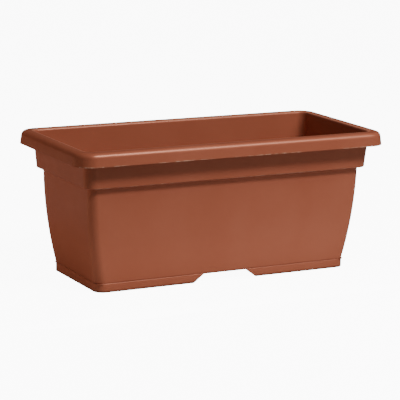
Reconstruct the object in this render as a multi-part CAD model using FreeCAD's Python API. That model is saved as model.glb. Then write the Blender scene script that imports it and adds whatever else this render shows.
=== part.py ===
"""Window box planter: a moulded trough, a lift-out water reserve grid and push-in drain plugs.

Millimetres, +Z up, +X along the length. The origin is on the ground, under the middle of the box.
"""
import FreeCAD
import Part
import math
import os

# --- Driving dimensions -------------------------------------------------------------------------

# Overall size, over the rim
length = 400.0
width = 190.0
height = 167.0

# Walls
wall = 2.3                    # side walls, floor and foot
floor_edge_bevel = 3.0        # inside, between floor and walls

# Rim: a hollow inverted channel round the mouth
rim_overhang = 13.7           # from the collar's outside to the rim's outside
rim_skirt = 15.5              # height of the rim's outer face
rim_flare = 1.6               # how far the skirt's foot stands outside its top
rim_wall = 2.1                # thickness of the rim's top and skirt
rim_corner_radius = 22.0
rim_edge_radius = 6.2         # outer top edge
rim_mouth_radius = 2.8        # inner top edge
rim_channel_bevel = 3.0       # inside the rim, under its rounded edge

# Collar: the wider upper part of the walls
collar_depth = 43.5           # from the rim's top down to the step
collar_taper = 3.5            # how far its foot stands inside its top
collar_step = 6.4             # how far the body stands inside the collar
collar_corner_radius = 12.0
collar_edge_bevel = 0.7       # lower edge

# Body: tapered walls that bow outward
end_taper = 12.6              # end walls, top to foot
side_taper = 7.6              # long walls, top to foot
end_crown = 3.1               # bow of the end walls at mid height
side_crown = 1.3              # bow of the long walls at mid height
body_corner_radius = 10.0     # at the top
foot_corner_radius = 11.7
corner_arcs = 8               # arcs that draw each of the body's corners
hollow_steps = 3              # straight stretches that follow the bow inside the walls

# Foot: a vertical band under a moulded line, notched in the middle of both long walls
foot_height = 10.5
foot_edge_bevel = 0.4
line_depth = 0.5
notch_top_width = 55.6
notch_bottom_width = 82.4
notch_height = 9.9
notch_corner_radius = 2.5

# Floor, raised above the ground, with ribs and drain holes
floor_lift = 13.0             # ground to the floor's underside
rib_depth = 5.0
rib_thickness = 1.8
rib_shares = (0.43, 0.86)     # where the ribs are, as shares of the floor's half length
overflow_height = 20.0        # top of the overflow pipes above the floor
overflow_bore_radius = 3.2
overflow_pipe_wall = 1.8
overflow_offset = 32.0        # from the middle of the floor, across the box

# Drain holes and their plugs
drain_radius = 6.0
drain_leg_pitch = 20.0        # along the box, between a drain hole and the grid's legs
drain_boss_wall = 2.5
drain_boss_drop = 3.0         # how far the boss hangs under the floor
plug_clearance = 0.06         # radial
plug_shank_overrun = 1.5      # how far the shank passes the boss
plug_head_radius = 9.0
plug_head_thickness = 2.5
plug_wall = 1.6
plug_tab_width = 11.0
plug_tab_height = 8.5
plug_tab_thickness = 2.4
plug_tab_corner_radius = 4.4

# Water reserve grid
reserve_height = 28.0         # floor to the underside of the grid's plate
grid_clearance = 1.5          # between the grid's edge and the walls
grid_thickness = 2.2
grid_wall = 1.8               # lip, wells and legs
grid_lip = 6.0                # depth of the turned-down edge
slot_length = 18.0
slot_width = 3.2
slot_pitch_x = 15.0
slot_pitch_y = 27.0
slot_margin = 4.0             # plastic left between a slot and whatever is beside it
well_plug_gap = 9.0           # along the box, between a well and a plug's head
well_length = 64.0            # at the plate
well_width = 52.0
well_taper = 6.0              # how far its foot stands inside its top
well_corner_radius = 9.0
well_slit_width = 3.0
well_slit_height = 14.0
well_slit_pitch = 12.0
leg_end_gap = 14.0            # between a leg's foot and the end wall
leg_side_gap = 12.0           # between a leg's foot and the long wall
leg_top_half = 7.5            # half a side of the square leg, at the plate
leg_foot_half = 5.5
leg_corner_radius = 2.6

# --- Sizes that follow --------------------------------------------------------------------------

collar_foot_z = height - collar_depth
ledge_z = collar_foot_z + wall
floor_z = floor_lift + wall
plate_z = floor_z + reserve_height
plate_top_z = plate_z + grid_thickness
skirt_foot_z = height - rim_skirt
body_rise = collar_foot_z - foot_height

collar_top = (length / 2 - rim_overhang, width / 2 - rim_overhang)
collar_foot = (collar_top[0] - collar_taper, collar_top[1] - collar_taper)
body_top = (collar_foot[0] - collar_step, collar_foot[1] - collar_step)
foot = (body_top[0] - end_taper, body_top[1] - side_taper)
floor_half = (foot[0] - wall, foot[1] - wall)

leg_x = floor_half[0] - leg_end_gap - leg_foot_half
leg_y = floor_half[1] - leg_side_gap - leg_foot_half
drain_x = leg_x - drain_leg_pitch
well_x = drain_x - plug_head_radius - well_plug_gap - well_length / 2
cut_margin = 5.0              # how far a cutting tool passes the face that it cuts
same_height = 1e-4            # heights this close are taken as one


# --- Outlines and simple solids -----------------------------------------------------------------

def rounded_rectangle(half_length, half_width, radius, z, arcs=1):
    """Closed wire at height z, centred on the Z axis, with so many arcs to each corner."""
    edges = []
    previous_end = None
    first_start = None
    for quarter, (side_x, side_y) in enumerate(((1, 1), (-1, 1), (-1, -1), (1, -1))):
        centre = FreeCAD.Vector(side_x * (half_length - radius), side_y * (half_width - radius), z)
        turns = [math.pi / 2 * (quarter + step / (2 * arcs)) for step in range(2 * arcs + 1)]
        points = [centre + FreeCAD.Vector(math.cos(turn), math.sin(turn), 0) * radius for turn in turns]
        if previous_end is not None:
            edges.append(Part.makeLine(previous_end, points[0]))
        else:
            first_start = points[0]
        for arc in range(arcs):
            edges.append(Part.Arc(*points[2 * arc:2 * arc + 3]).toShape())
        previous_end = points[-1]
    edges.append(Part.makeLine(previous_end, first_start))
    return Part.Wire(edges)


def rounded_profile(corners, radii):
    """Closed wire in the XZ plane through (x, z) corners, each rounded to its radius (0 stays sharp)."""
    points = [FreeCAD.Vector(x, 0, z) for x, z in corners]
    stretches = []
    for index, (corner, radius) in enumerate(zip(points, radii)):
        back = (points[index - 1] - corner).normalize()
        ahead = (points[(index + 1) % len(points)] - corner).normalize()
        half_angle = back.getAngle(ahead) / 2
        reach = radius / math.tan(half_angle)
        bisector = (back + ahead).normalize()
        middle = corner + bisector * (radius / math.sin(half_angle) - radius)
        stretches.append((corner + back * reach, middle, corner + ahead * reach, radius))
    edges = []
    for index, (start, middle, end, radius) in enumerate(stretches):
        if radius > 0:
            edges.append(Part.Arc(start, middle, end).toShape())
        edges.append(Part.makeLine(end, stretches[(index + 1) % len(stretches)][0]))
    return Part.Wire(edges)


def prism(outline, rise):
    """Solid between a flat horizontal outline and the same outline, rise higher."""
    return Part.Face(outline).extrude(FreeCAD.Vector(0, 0, rise))


def box_between(low, high):
    """Box between two opposite corners."""
    size = FreeCAD.Vector(*high) - FreeCAD.Vector(*low)
    return Part.makeBox(size.x, size.y, size.z, FreeCAD.Vector(*low))


def frustum(low, high, z_low, z_high, radius):
    """Straight tapered block between two (half length, half width) rectangles, its corners rounded."""
    block = Part.makeWedge(-low[0], z_low, -low[1], -high[1], -high[0],
                           low[0], z_high, low[1], high[1], high[0])
    block.rotate(FreeCAD.Vector(0, 0, 0), FreeCAD.Vector(1, 0, 0), 90)
    upright = [edge for edge in block.Edges if edge.BoundBox.ZLength > (z_high - z_low) / 2]
    return block.makeFillet(radius, upright)


def edges_at_height(shape, z):
    """The edges that lie flat at height z."""
    return [edge for edge in shape.Edges
            if edge.BoundBox.ZLength < same_height and abs(edge.BoundBox.Center.z - z) < same_height]


# --- Trough ---------------------------------------------------------------------------------------

def body_outline(z, inset=0.0, arcs=1):
    """Outline of the bowed, tapered body at height z, inset from its outer face."""
    share = (z - foot_height) / body_rise
    bow = 4 * share * (1 - share)
    half_length = foot[0] + end_taper * share + end_crown * bow - inset
    half_width = foot[1] + side_taper * share + side_crown * bow - inset
    radius = foot_corner_radius + (body_corner_radius - foot_corner_radius) * share - inset
    return rounded_rectangle(half_length, half_width, radius, z, arcs)


def body_solid(low, high):
    """The body's outside between two heights; three sections give its even bow."""
    sections = [body_outline(z, 0, corner_arcs) for z in (low, (low + high) / 2, high)]
    return Part.makeLoft(sections, True, False)


def body_hollow(low, high):
    """The body's hollow between two heights: straight stretches over a bevelled floor edge."""
    stretch = (high - low - floor_edge_bevel) / hollow_steps
    sections = [body_outline(low, wall + floor_edge_bevel)]
    for step in range(hollow_steps + 1):
        sections.append(body_outline(low + floor_edge_bevel + stretch * step, wall))
    return Part.makeLoft(sections, True, True)


def collar_block(low, high, inset=0.0):
    """The straight tapered collar between two heights, inset from its outer face."""
    ends = []
    for z in (low, high):
        drawn_in = collar_taper * (height - z) / collar_depth + inset
        ends.append((collar_top[0] - drawn_in, collar_top[1] - drawn_in))
    return frustum(ends[0], ends[1], low, high, collar_corner_radius - inset)


def foot_and_body_solids():
    """Foot band, body, and the two flanks that make the moulded line between them."""
    band_top = foot_height - line_depth
    body_low = foot_height + line_depth
    band = prism(rounded_rectangle(foot[0], foot[1], foot_corner_radius, 0), band_top)
    band = band.makeChamfer(foot_edge_bevel, edges_at_height(band, 0))
    foot_half = (foot[0], foot[1])
    line_half = (foot[0] - line_depth, foot[1] - line_depth)
    lower_flank = frustum(foot_half, line_half, band_top, foot_height, foot_corner_radius)
    upper_flank = Part.makeLoft([body_outline(foot_height, line_depth, corner_arcs),
                                 body_outline(body_low, 0, corner_arcs)], True, True)
    return [band, lower_flank, upper_flank, body_solid(body_low, collar_foot_z)]


def collar_solid():
    """Collar with its bevelled lower edge, closed inside; the trough's hollow is cut later."""
    collar = collar_block(collar_foot_z, height)
    return collar.makeChamfer(collar_edge_bevel, edges_at_height(collar, collar_foot_z))


def rim_block(low, high, inset=0.0):
    """The flared rim between two heights, inset from its outer face."""
    ends = []
    for z in (low, high):
        drawn_in = rim_flare * (z - skirt_foot_z) / rim_skirt + inset
        ends.append((length / 2 - drawn_in, width / 2 - drawn_in))
    return frustum(ends[0], ends[1], low, high, rim_corner_radius - inset)


def rim_solid():
    """Rim as an inverted channel: a rounded cap less the space between skirt and collar."""
    cap = rim_block(skirt_foot_z, height)
    cap = cap.makeFillet(rim_edge_radius, edges_at_height(cap, height))
    channel = rim_block(skirt_foot_z, height - rim_wall, rim_wall)
    channel = channel.makeChamfer(rim_channel_bevel, edges_at_height(channel, height - rim_wall))
    return cap.cut(channel)


def hollow_solids():
    """The space inside the walls: the body's hollow, the collar's, and the one under the floor."""
    inside_body = body_hollow(floor_z, ledge_z)
    inside_collar = collar_block(ledge_z, height + cut_margin, wall)
    under_floor = prism(
        rounded_rectangle(floor_half[0], floor_half[1], foot_corner_radius - wall, -cut_margin),
        cut_margin + floor_lift)
    return [inside_body, inside_collar, under_floor]


def cut_foot_notches(trough):
    """Notch the foot in the middle of both long walls."""
    half_top = notch_top_width / 2
    half_bottom = notch_bottom_width / 2
    spread = (half_bottom - half_top) / notch_height * cut_margin
    notch = rounded_profile(
        [(-half_bottom - spread, -cut_margin), (half_bottom + spread, -cut_margin),
         (half_top, notch_height), (-half_top, notch_height)],
        [0, 0, notch_corner_radius, notch_corner_radius])
    reach = foot[1] + cut_margin
    cutter = Part.Face(notch).translated(FreeCAD.Vector(0, -reach, 0))
    return trough.cut(cutter.extrude(FreeCAD.Vector(0, 2 * reach, 0)))


def cylinder(x, y, low, high, radius):
    """Upright cylinder between two heights."""
    return Part.makeCylinder(radius, high - low, FreeCAD.Vector(x, y, low))


def add_floor_fittings(trough):
    """Cross ribs and drain bosses under the floor, overflow pipes on it, and their holes."""
    added = []
    holes = []
    rib_low = floor_lift - rib_depth
    half_span = foot[1] - wall / 2
    for share in rib_shares:
        for side in (-1, 1):
            middle = side * share * floor_half[0]
            added.append(box_between((middle - rib_thickness / 2, -half_span, rib_low),
                                     (middle + rib_thickness / 2, half_span, floor_lift + wall / 2)))
    for side in (-1, 1):
        x = side * drain_x
        boss_low = floor_lift - drain_boss_drop
        added.append(cylinder(x, 0, boss_low, floor_lift + wall / 2, drain_radius + drain_boss_wall))
        holes.append(cylinder(x, 0, 0, floor_z + cut_margin, drain_radius))
        y = side * overflow_offset
        pipe_radius = overflow_bore_radius + overflow_pipe_wall
        added.append(cylinder(0, y, floor_lift + wall / 2, floor_z + overflow_height, pipe_radius))
        holes.append(cylinder(0, y, 0, floor_z + overflow_height + cut_margin, overflow_bore_radius))
    return trough.fuse(added).cut(holes)


def planter_box():
    """The whole moulded trough as one solid."""
    outside = collar_solid().fuse(foot_and_body_solids() + [rim_solid()])
    trough = outside.cut(hollow_solids())
    trough = cut_foot_notches(trough)
    trough = add_floor_fittings(trough)
    trough = trough.removeSplitter()
    mouth = []
    for edge in edges_at_height(trough, height):
        middle = edge.valueAt((edge.FirstParameter + edge.LastParameter) / 2)
        if abs(middle.x) < collar_top[0] and abs(middle.y) < collar_top[1]:
            mouth.append(edge)
    return trough.makeFillet(rim_mouth_radius, mouth)


# --- Water reserve grid -----------------------------------------------------------------------------

def plate_outline(z, inset=0.0):
    """Outline of the grid: the walls' inside at the lip's foot, less the clearance."""
    outline = body_outline(plate_z - grid_lip, wall + grid_clearance + inset)
    return outline.translated(FreeCAD.Vector(0, 0, z - (plate_z - grid_lip)))


def well_block(low, high, inset=0.0):
    """A well between two heights, drawn in evenly towards its foot and inset from its outer face."""
    ends = []
    for z in (low, high):
        drawn_in = well_taper * (plate_top_z - z) / (plate_top_z - floor_z) + inset
        ends.append((well_length / 2 - drawn_in, well_width / 2 - drawn_in))
    return frustum(ends[0], ends[1], low, high, well_corner_radius - inset)


def well_solids():
    """A well's outside, its hollow and the slits in its walls, centred on the Z axis."""
    outside = well_block(floor_z, plate_top_z)
    hollow_low = floor_z + grid_wall
    hollow = well_block(hollow_low, plate_top_z + cut_margin, grid_wall)
    slits = []
    slit_low = hollow_low + grid_wall
    slit_high = slit_low + well_slit_height
    for step in (-1, 0, 1):
        near = step * well_slit_pitch - well_slit_width / 2
        far = step * well_slit_pitch + well_slit_width / 2
        slits.append(box_between((near, -well_width, slit_low), (far, well_width, slit_high)))
        slits.append(box_between((-well_length, near, slit_low), (well_length, far, slit_high)))
    slit_reach = box_between((-well_length / 2, -well_width / 2, slit_low),
                             (well_length / 2, well_width / 2, slit_high))
    return outside, hollow, [slit.common(slit_reach) for slit in slits]


def leg_block(low, high, inset=0.0):
    """A square leg between two heights, drawn in towards its foot and inset from its outer face."""
    ends = []
    for z in (low, high):
        rise = (z - floor_z) / (plate_top_z - floor_z)
        half = leg_foot_half + (leg_top_half - leg_foot_half) * rise - inset
        ends.append((half, half))
    return frustum(ends[0], ends[1], low, high, leg_corner_radius - inset)


def leg_solids():
    """A hollow tapered leg's outside and its hollow, centred on the Z axis."""
    return (leg_block(floor_z, plate_top_z),
            leg_block(floor_z + grid_wall, plate_top_z + cut_margin, grid_wall))


def slot_is_free(x, y, half_plate_length, half_plate_width):
    """True where a slot keeps its margin to the plate's edge, the wells and the legs."""
    half_slot = slot_length / 2
    if abs(x) + slot_width / 2 + slot_margin + grid_wall > half_plate_length:
        return False
    if abs(y) + half_slot + slot_margin + grid_wall > half_plate_width:
        return False
    beside_well = abs(abs(x) - well_x) - well_length / 2 - slot_width / 2
    past_well = abs(y) - well_width / 2 - half_slot
    if beside_well < slot_margin and past_well < slot_margin:
        return False
    beside_leg = abs(abs(x) - leg_x) - leg_top_half - slot_width / 2
    past_leg = abs(abs(y) - leg_y) - leg_top_half - half_slot
    return not (beside_leg < slot_margin and past_leg < slot_margin)


def grid_slots():
    """Cutters for the drainage slots, in rows across the plate."""
    bounds = plate_outline(plate_z).BoundBox
    columns = int(bounds.XLength / 2 / slot_pitch_x)
    rows = int(bounds.YLength / 2 / slot_pitch_y)
    cutters = []
    for column in range(-columns, columns + 1):
        for row in range(-rows, rows + 1):
            x = column * slot_pitch_x
            y = row * slot_pitch_y
            if slot_is_free(x, y, bounds.XLength / 2, bounds.YLength / 2):
                cutters.append(box_between(
                    (x - slot_width / 2, y - slot_length / 2, plate_z - cut_margin),
                    (x + slot_width / 2, y + slot_length / 2, plate_top_z + cut_margin)))
    return cutters


def reserve_grid():
    """Slotted plate with a turned-down lip, standing on two soil wells and four legs."""
    plate = prism(plate_outline(plate_z - grid_lip), grid_lip + grid_thickness)
    under_plate = prism(plate_outline(plate_z - grid_lip, grid_wall), grid_lip)
    plate = plate.cut(under_plate).cut(grid_slots())
    well_outside, well_hollow, well_slits = well_solids()
    leg_outside, leg_hollow = leg_solids()
    added = []
    removed = []
    for side in (-1, 1):
        well_place = FreeCAD.Vector(side * well_x, 0, 0)
        added.append(well_outside.translated(well_place))
        removed.extend(shape.translated(well_place) for shape in [well_hollow] + well_slits)
        for leg_side in (-1, 1):
            leg_place = FreeCAD.Vector(side * leg_x, leg_side * leg_y, 0)
            added.append(leg_outside.translated(leg_place))
            removed.append(leg_hollow.translated(leg_place))
    return plate.fuse(added).cut(removed).removeSplitter()


# --- Drain plugs --------------------------------------------------------------------------------------

def drain_plug():
    """Hollow shank under a round head with a pull tab, centred on the Z axis."""
    shank_radius = drain_radius - plug_clearance
    tip_z = floor_z - wall - drain_boss_drop - plug_shank_overrun
    head_top = floor_z + plug_head_thickness
    shank = cylinder(0, 0, tip_z, floor_z, shank_radius)
    hollow = cylinder(0, 0, tip_z, floor_z, shank_radius - plug_wall)
    head = cylinder(0, 0, floor_z, head_top, plug_head_radius)
    half_tab = plug_tab_width / 2
    tab_low = head_top - plug_head_thickness / 2
    tab_high = head_top + plug_tab_height
    tab_outline = rounded_profile(
        [(-half_tab, tab_low), (half_tab, tab_low), (half_tab, tab_high), (-half_tab, tab_high)],
        [0, 0, plug_tab_corner_radius, plug_tab_corner_radius])
    tab = Part.Face(tab_outline).translated(FreeCAD.Vector(0, -plug_tab_thickness / 2, 0))
    tab = tab.extrude(FreeCAD.Vector(0, plug_tab_thickness, 0))
    return shank.cut(hollow).fuse([head, tab]).removeSplitter()


# --- Output -------------------------------------------------------------------------------------------

def main():
    plug = drain_plug()
    nodes = {
        "planter_box": planter_box(),
        "reserve_grid": reserve_grid(),
        "drain_plug_left": plug.translated(FreeCAD.Vector(-drain_x, 0, 0)),
        "drain_plug_right": plug.translated(FreeCAD.Vector(drain_x, 0, 0)),
    }
    os.makedirs("parts", exist_ok=True)
    for name, shape in nodes.items():
        shape.exportStep("parts/%s.step" % name)
        print("%s: %d solid, %.1f cm3, valid %s" % (
            name, len(shape.Solids), shape.Volume / 1000, shape.isValid()))


main()
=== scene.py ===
"""Window box planter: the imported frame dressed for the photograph's view. Metres, +Z up."""
import math

import bpy
from mathutils import Matrix, Vector

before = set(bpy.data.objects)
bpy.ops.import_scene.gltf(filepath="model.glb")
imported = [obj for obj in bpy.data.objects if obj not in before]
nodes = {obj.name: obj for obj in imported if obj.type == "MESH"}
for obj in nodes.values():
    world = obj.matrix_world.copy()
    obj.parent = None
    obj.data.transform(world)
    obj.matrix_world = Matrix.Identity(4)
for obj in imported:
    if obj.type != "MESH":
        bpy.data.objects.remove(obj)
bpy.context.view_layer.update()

# Heights of the trough's marks.
SKIRT_FOOT = 0.1515
COLLAR_FOOT = 0.1235
MOUTH_LOW = 0.1630
FOOT_LINE = 0.0108
DULL_BELOW = 0.0125
# Painted contact shadow along the foot's ground edge: where it begins, and where it is full.
GROUND_SHADOW_TOP = 0.0028
GROUND_SHADOW_FULL = 0.0010

# Half depths that tell the outside of the skirt and of the collar's foot from the walls inside them.
SKIRT_SIDE = 0.0850
COLLAR_SIDE = 0.0768

# Half sizes and corner radius of the painted highlight line round the mouth, seen from above.
MOUTH = (0.1862, 0.0812)
MOUTH_CORNER = 0.0121

# Widths of the marks, and of the steps in which they fade.
# Width of the pale lines on the lower edges: partly mould flash, partly painted highlight.
FLASH_AND_HIGHLIGHT_WIDTH = 0.0011
# Width of the painted highlight round the mouth's edge.
MOUTH_LINE = 0.0020
# Width of the painted shade along the foot's line.
FOOT_SHADE_WIDTH = 0.0016
SIDE_FADE = 0.0003
MOUTH_FADE = 0.001
DULL_FADE = 0.002

# Plastic: its gloss, and the depth of its fine grain and of its slow sink marks.
PLASTIC_IOR = 1.58
GRAIN_DEPTH = 0.00012
SINK_DEPTH = 0.0006

# Floor: how strongly it glows to the camera, and how much light it gives back to the object.
FLOOR_HALF = 30.0
FLOOR_DROP = 0.0002
FLOOR_GLOW = 10.0
FLOOR_PAPER = 0.9
FLOOR_BOUNCE = 0.22

# Lights aim at TARGET. A softbox stands FAR off, a strip NEAR, and the cards lie or stand on the floor.
TARGET = Vector((0.0, 0.0, 0.085))
FAR = 1.9
NEAR = 0.9
BOX = 0.75
STRIP = 0.12
CARD_LIFT = 0.001
LOW_CARD_HEIGHT = 0.03
LOW_CARD_Z = 0.018
WORLD_STRENGTH = 0.005
WARM = (1.0, 0.82, 0.68)
COOL = (0.45, 0.75, 1.0)

# The camera's place, axes and lens, in line with the photograph.
CAMERA_PLACE = Vector((-1.0398, -1.9839, 0.5531))
CAMERA_RIGHT = Vector((0.88759, -0.46029, 0.01804))
CAMERA_UP = Vector((0.07893, 0.19055, 0.97850))
CAMERA_BACK = Vector((-0.45383, -0.86708, 0.20546))
CAMERA_LENS = 173.2
CAMERA_SENSOR = 36.0
CAMERA_CLIP = (0.05, 100.0)


# ---------------------------------------------------------------- materials

def rgb(red, green, blue):
    return (red, green, blue, 1.0)


WHITE = rgb(1.0, 1.0, 1.0)
# Tint of the painted shade along the foot's line.
FOOT_SHADE_TINT = rgb(0.45, 0.40, 0.40)
# Tint of the painted contact shadow at the ground edge.
GROUND_SHADOW_TINT = rgb(0.35, 0.35, 0.35)


class Tree:
    """A material's node tree, built by short calls that make a node and join its inputs."""

    def __init__(self, name):
        self.material = bpy.data.materials.new(name)
        self.material.use_nodes = True
        self.tree = self.material.node_tree
        self.tree.nodes.clear()

    def add(self, kind, inputs=None, **settings):
        """Makes a node. An input is a value, or another node's output to link."""
        node = self.tree.nodes.new("ShaderNode" + kind)
        for key, value in settings.items():
            setattr(node, key, value)
        for key, value in (inputs or {}).items():
            if isinstance(value, bpy.types.NodeSocket):
                self.tree.links.new(value, node.inputs[key])
            else:
                node.inputs[key].default_value = value
        return node

    def math(self, operation, a, b=0.5, clamp=False):
        node = self.add("Math", {0: a, 1: b}, operation=operation, use_clamp=clamp)
        return node.outputs[0]

    def noise(self, vector, scale, detail=2.0, roughness=0.5):
        node = self.add("TexNoise", {"Vector": vector, "Scale": scale, "Detail": detail,
                                     "Roughness": roughness})
        return node.outputs["Fac"]

    def stretch(self, vector, scale):
        return self.add("Mapping", {"Vector": vector, "Scale": scale}).outputs[0]

    def span(self, value, low, high, to_low, to_high):
        """Maps low..high to to_low..to_high, held at both ends."""
        node = self.add("MapRange", {"Value": value, "From Min": low, "From Max": high,
                                     "To Min": to_low, "To Max": to_high}, clamp=True)
        return node.outputs[0]

    def mix(self, fac, a, b, blend="MIX"):
        node = self.add("Mix", data_type="RGBA", blend_type=blend, clamp_factor=True)
        for socket, value in ((node.inputs[0], fac), (node.inputs[6], a), (node.inputs[7], b)):
            if isinstance(value, bpy.types.NodeSocket):
                self.tree.links.new(value, socket)
            else:
                socket.default_value = value
        return node.outputs[2]


def distance_outside(t, place, half, corner):
    """Distance outside a rounded rectangle seen from above, and below zero just within its edge."""
    sizes = t.add("VectorMath", {0: place}, operation="ABSOLUTE").outputs[0]
    axes = t.add("SeparateXYZ", {0: sizes})
    past_x = t.math("MAXIMUM", t.math("SUBTRACT", axes.outputs["X"], half[0] - corner), 0.0)
    past_y = t.math("MAXIMUM", t.math("SUBTRACT", axes.outputs["Y"], half[1] - corner), 0.0)
    squares = t.math("ADD", t.math("MULTIPLY", past_x, past_x), t.math("MULTIPLY", past_y, past_y))
    return t.math("SUBTRACT", t.math("SQRT", squares), corner)


def flash_and_painted_light(t, place, colour, dark, flash_and_highlight, mouth_highlight_colour, flash_and_highlight_lines):
    """Ragged pale lines on the lower edges, partly mould flash and partly painted highlight; a painted
    highlight round the mouth; painted shade on the foot's line; a painted contact shadow along the
    ground edge.
    """
    axes = t.add("SeparateXYZ", {0: place})
    height = axes.outputs["Z"]
    across = t.math("ABSOLUTE", axes.outputs["Y"])
    ragged = t.math("MULTIPLY", t.span(t.noise(place, 130.0, 3.0, 0.7), 0.44, 0.58, 0.05, 1.0),
                    t.span(t.noise(place, 9.0, 1.0, 0.5), 0.35, 0.45, 0.0, 1.0))
    # Pale ragged lines on the lower edges of the skirt and collar: partly mould flash, partly painted
    # highlight.
    for lower_edge, side, strength in flash_and_highlight_lines:
        outside = t.span(across, side, side + SIDE_FADE, 0.0, 1.0)
        above = t.span(height, lower_edge + FLASH_AND_HIGHLIGHT_WIDTH, lower_edge, 0.0, strength)
        below = t.span(height, lower_edge - FLASH_AND_HIGHLIGHT_WIDTH, lower_edge - FLASH_AND_HIGHLIGHT_WIDTH / 4, 0.0, 1.0)
        band = t.math("MULTIPLY", above, below)
        line = t.math("MULTIPLY", band, t.math("MULTIPLY", ragged, outside))
        colour = t.mix(line, colour, flash_and_highlight)
    # Painted highlight on the mouth's rounded edge, where it faces the key light.
    from_line = t.math("ABSOLUTE", distance_outside(t, place, MOUTH, MOUTH_CORNER))
    painted_mouth_highlight = t.math("MULTIPLY", t.span(from_line, MOUTH_LINE / 2, MOUTH_LINE, 0.8, 0.0),
                     t.span(height, MOUTH_LOW, MOUTH_LOW + MOUTH_FADE, 0.0, 1.0))
    colour = t.mix(painted_mouth_highlight, colour, mouth_highlight_colour)
    # Painted shade along the foot's line, where the step throws a thin shadow.
    from_foot = t.math("ABSOLUTE", t.math("SUBTRACT", height, FOOT_LINE))
    foot_line_shade = t.span(from_foot, FOOT_SHADE_WIDTH / 3, FOOT_SHADE_WIDTH, 0.28, 0.0)
    colour = t.mix(foot_line_shade, colour, t.mix(1.0, dark, FOOT_SHADE_TINT, "MULTIPLY"))
    # Painted contact shadow darkening the lowest few millimetres of the foot.
    ground_shadow = t.span(height, GROUND_SHADOW_TOP, GROUND_SHADOW_FULL, 0.0, 0.85)
    return t.mix(ground_shadow, colour, t.mix(1.0, dark, GROUND_SHADOW_TINT, "MULTIPLY"))


def moulded_plastic(name, dark, base, light, rough, edge_radius, grain, specular=0.4, sheen=WHITE,
                    flash_and_highlight_lines=(), flash_and_highlight=WHITE, mouth_highlight_colour=WHITE):
    """Moulded plastic: clouded colour, flow marks, specks, paler worn edges and a fine grain."""
    t = Tree(name)
    place = t.add("TexCoord").outputs["Object"]
    cloud = t.noise(place, 11.0, 4.0, 0.55)
    flow = t.noise(t.stretch(place, (20.0, 20.0, 7.0)), 1.0, 3.0, 0.5)
    fine = t.noise(place, 1400.0, 2.0, 0.6)
    speck = t.noise(place, 420.0, 3.0, 0.7)

    colour = t.mix(t.span(cloud, 0.36, 0.66, 0.0, 1.0), dark, base)
    colour = t.mix(t.span(flow, 0.40, 0.75, 0.0, 0.10), colour, light)
    colour = t.mix(t.span(speck, 0.62, 0.78, 0.0, 0.16), colour, light)

    rounded = t.add("Bevel", {"Radius": edge_radius}, samples=6).outputs[0]
    flat = t.add("NewGeometry").outputs["Normal"]
    turn = t.add("VectorMath", {0: rounded, 1: flat}, operation="DOT_PRODUCT").outputs["Value"]
    edge = t.span(turn, 0.995, 0.90, 0.0, 1.0)
    worn = t.math("MULTIPLY", edge, t.span(t.noise(place, 160.0, 3.0, 0.6), 0.3, 0.7, 0.25, 0.8))
    height = t.add("SeparateXYZ", {0: place}).outputs["Z"]
    worn = t.math("MULTIPLY", worn, t.span(height, DULL_BELOW, DULL_BELOW + DULL_FADE, 0.0, 1.0))
    colour = t.mix(t.math("MULTIPLY", worn, 0.35), colour, light)

    # Mould flash, painted highlights, painted shade on the foot's line and a painted contact shadow.
    if flash_and_highlight_lines:
        colour = flash_and_painted_light(t, place, colour, dark, flash_and_highlight, mouth_highlight_colour, flash_and_highlight_lines)

    gloss = t.math("ADD", t.span(cloud, 0.3, 0.7, -0.03, 0.03), t.span(fine, 0.3, 0.7, -0.04, 0.04))
    gloss = t.math("ADD", gloss, rough)
    gloss = t.math("SUBTRACT", gloss, t.math("MULTIPLY", edge, 0.05), clamp=True)

    bump = t.add("Bump", {"Strength": grain, "Distance": GRAIN_DEPTH, "Height": fine, "Normal": rounded})
    wave = t.noise(place, 34.0, 2.0, 0.5)
    sink = t.add("Bump", {"Strength": 0.10, "Distance": SINK_DEPTH, "Height": wave,
                          "Normal": bump.outputs[0]})

    shader = t.add("BsdfPrincipled", {
        "Base Color": colour, "Roughness": gloss, "Normal": sink.outputs[0],
        "IOR": PLASTIC_IOR, "Specular IOR Level": specular, "Specular Tint": sheen})
    t.add("OutputMaterial", {"Surface": shader.outputs[0]})
    return t.material


def dress(name, material):
    """Puts the material in every slot of a CAD node."""
    for slot in nodes[name].material_slots:
        slot.material = material


terracotta = moulded_plastic(
    "terracotta_plastic", rgb(0.386, 0.105, 0.055), rgb(0.411, 0.117, 0.063), rgb(0.50, 0.165, 0.100),
    rough=0.36, edge_radius=0.0009, grain=0.35, specular=1.0, sheen=rgb(1.0, 0.44, 0.29),
    # Lower edges get mould flash with painted highlight, and the mouth gets a painted highlight.
    flash_and_highlight_lines=((SKIRT_FOOT, SKIRT_SIDE, 1.0), (COLLAR_FOOT, COLLAR_SIDE, 0.5)),
    flash_and_highlight=rgb(0.95, 0.62, 0.42), mouth_highlight_colour=rgb(0.62, 0.225, 0.135))
charcoal = moulded_plastic(
    "grid_plastic", rgb(0.020, 0.019, 0.018), rgb(0.030, 0.028, 0.026), rgb(0.075, 0.070, 0.064),
    rough=0.50, edge_radius=0.0005, grain=0.5)
rubbery = moulded_plastic(
    "plug_plastic", rgb(0.024, 0.023, 0.022), rgb(0.034, 0.032, 0.030), rgb(0.070, 0.066, 0.062),
    rough=0.58, edge_radius=0.0005, grain=0.5)

dress("planter_box", terracotta)
dress("reserve_grid", charcoal)
dress("drain_plug_left", rubbery)
dress("drain_plug_right", rubbery)


# ---------------------------------------------------------------- floor

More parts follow.
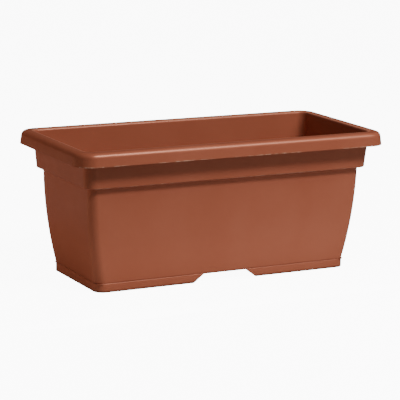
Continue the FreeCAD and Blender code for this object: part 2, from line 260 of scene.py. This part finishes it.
def floor_material():
    """White paper: the camera sees it near white, and the object gets a softer light from it."""
    t = Tree("studio_floor")
    place = t.add("TexCoord").outputs["Object"]
    shade = t.span(t.noise(place, 2.0, 2.0, 0.5), 0.3, 0.7, 0.985, 1.0)
    bounce = t.add("BsdfDiffuse", {"Color": rgb(FLOOR_BOUNCE, FLOOR_BOUNCE, FLOOR_BOUNCE)})
    paper = t.add("BsdfDiffuse", {"Color": rgb(FLOOR_PAPER, FLOOR_PAPER, FLOOR_PAPER)})
    glow = t.add("Emission", {"Color": WHITE, "Strength": t.math("MULTIPLY", shade, FLOOR_GLOW)})
    shown = t.add("AddShader", {0: paper.outputs[0], 1: glow.outputs[0]})
    seen = t.add("LightPath").outputs["Is Camera Ray"]
    both = t.add("MixShader", {0: seen, 1: bounce.outputs[0], 2: shown.outputs[0]})
    t.add("OutputMaterial", {"Surface": both.outputs[0]})
    return t.material


def make_floor():
    corners = [(x * FLOOR_HALF, y * FLOOR_HALF, 0) for x, y in ((-1, -1), (1, -1), (1, 1), (-1, 1))]
    mesh = bpy.data.meshes.new("floor")
    mesh.from_pydata(corners, [], [(0, 1, 2, 3)])
    mesh.materials.append(floor_material())
    floor = bpy.data.objects.new("floor", mesh)
    floor.location.z = -FLOOR_DROP
    bpy.context.scene.collection.objects.link(floor)


# ---------------------------------------------------------------- light and camera

def toward(azimuth, elevation):
    """Unit direction from the object; azimuth 0 is the front, 90 the right end."""
    a, e = math.radians(azimuth), math.radians(elevation)
    return Vector((math.sin(a) * math.cos(e), -math.cos(a) * math.cos(e), math.sin(e)))


def softbox(name, azimuth, elevation, distance, wide, high, power, colour=(1, 1, 1), gloss=False):
    """Area light that faces the object. Angles in degrees, power in watts; gloss: it is reflected."""
    data = bpy.data.lights.new(name, "AREA")
    data.shape = "RECTANGLE"
    data.size, data.size_y = wide, high
    data.energy = power
    data.color = colour
    lamp = bpy.data.objects.new(name, data)
    way = toward(azimuth, elevation)
    lamp.location = TARGET + way * distance
    lamp.rotation_mode = "QUATERNION"
    lamp.rotation_quaternion = (-way).to_track_quat("-Z", "Y")
    lamp.visible_camera = False
    lamp.visible_glossy = gloss
    bpy.context.scene.collection.objects.link(lamp)
    return lamp


def floor_card(name, x, y, wide, deep, power, colour=(1, 1, 1)):
    """Reflector card that lies on the floor beside the box and lights it from below."""
    lamp = softbox(name, 0, 0, NEAR, wide, deep, power, colour)
    lamp.location = (x, y, CARD_LIFT)
    lamp.rotation_quaternion = (0, 1, 0, 0)


def low_card(name, azimuth, distance, wide, power, colour=(1, 1, 1)):
    """Narrow reflector card that stands on the floor and lights the foot."""
    lamp = softbox(name, azimuth, 0, distance, wide, LOW_CARD_HEIGHT, power, colour)
    lamp.location.z = LOW_CARD_Z


def make_lights():
    """Softboxes: azimuth, elevation, distance, width, height, watts. Cards: place, size, watts."""
    softbox("key_core", 18, 48, FAR, 0.50, 0.32, 18.6, gloss=True)
    softbox("key_softbox", 38, 48, FAR, 0.90, BOX, 15.0, gloss=True)
    softbox("front_strip", 30, -1, NEAR, 0.70, STRIP, 0.55)
    softbox("right_top_softbox", 113, 61, FAR, BOX, BOX, 2.0)
    softbox("left_strip", -118, -1, NEAR, 0.70, STRIP, 2.0, WARM)
    softbox("left_low_softbox", -125, 10, FAR, BOX, BOX, 1.7, WARM)
    softbox("left_top_softbox", -90, 58, FAR, BOX, BOX, 1.8, COOL)
    softbox("rear_softbox", 172, 31, FAR, BOX, BOX, 0.2)
    floor_card("front_card", 0.0, -0.115, 0.60, 0.07, 0.072)
    floor_card("left_card", -0.26, 0.03, 0.12, 0.22, 0.034, WARM)
    low_card("front_low_card", 0, 0.18, 0.60, 0.072)
    low_card("left_low_card", -90, 0.30, 0.22, 0.008, WARM)


def make_world():
    world = bpy.data.worlds.new("studio")
    world.use_nodes = True
    background = world.node_tree.nodes["Background"]
    background.inputs["Color"].default_value = WHITE
    background.inputs["Strength"].default_value = WORLD_STRENGTH
    bpy.context.scene.world = world


def make_camera():
    data = bpy.data.cameras.new("camera")
    data.sensor_width = CAMERA_SENSOR
    data.lens = CAMERA_LENS
    data.clip_start, data.clip_end = CAMERA_CLIP
    camera = bpy.data.objects.new("camera", data)
    axes = Matrix((CAMERA_RIGHT, CAMERA_UP, CAMERA_BACK)).transposed()
    camera.matrix_world = Matrix.Translation(CAMERA_PLACE) @ axes.to_4x4()
    bpy.context.scene.collection.objects.link(camera)
    bpy.context.scene.camera = camera


make_floor()
make_lights()
make_world()
make_camera()

bpy.context.view_layer.update()
